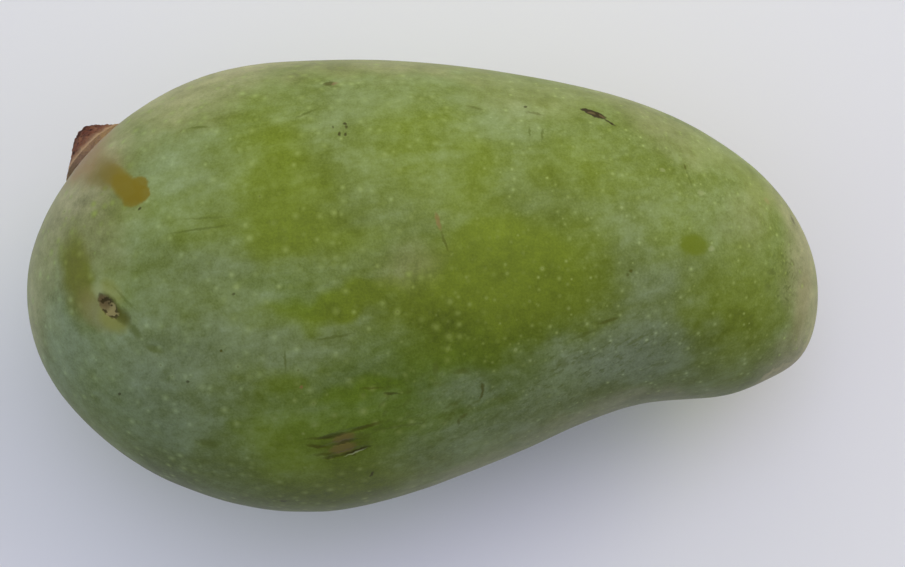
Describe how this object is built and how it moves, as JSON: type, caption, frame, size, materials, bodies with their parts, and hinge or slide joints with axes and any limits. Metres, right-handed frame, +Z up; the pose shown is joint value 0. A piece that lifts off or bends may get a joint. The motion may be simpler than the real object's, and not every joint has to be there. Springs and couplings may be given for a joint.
{
  "type": "mango",
  "caption": "Whole green mango with a curved beak end, a shallow sinus beside the beak and a dry stem stub on its shoulder, lying on one cheek.",
  "frame": {"origin": "on the surface that the fruit rests on, under the middle of its bounding box", "axes": "+X along the fruit towards the beak end, +Z up through the upper cheek"},
  "size_m": [0.132, 0.0756, 0.0625],
  "materials": {
    "skin": "waxy matt green skin with a grey bloom, yellow-green patches and pale lenticels",
    "stem": "dry, dull, reddish brown broken wood"
  },
  "bodies": {
    "root": {"fruit": "skin", "stem": "stem"}
  },
  "joints": []
}
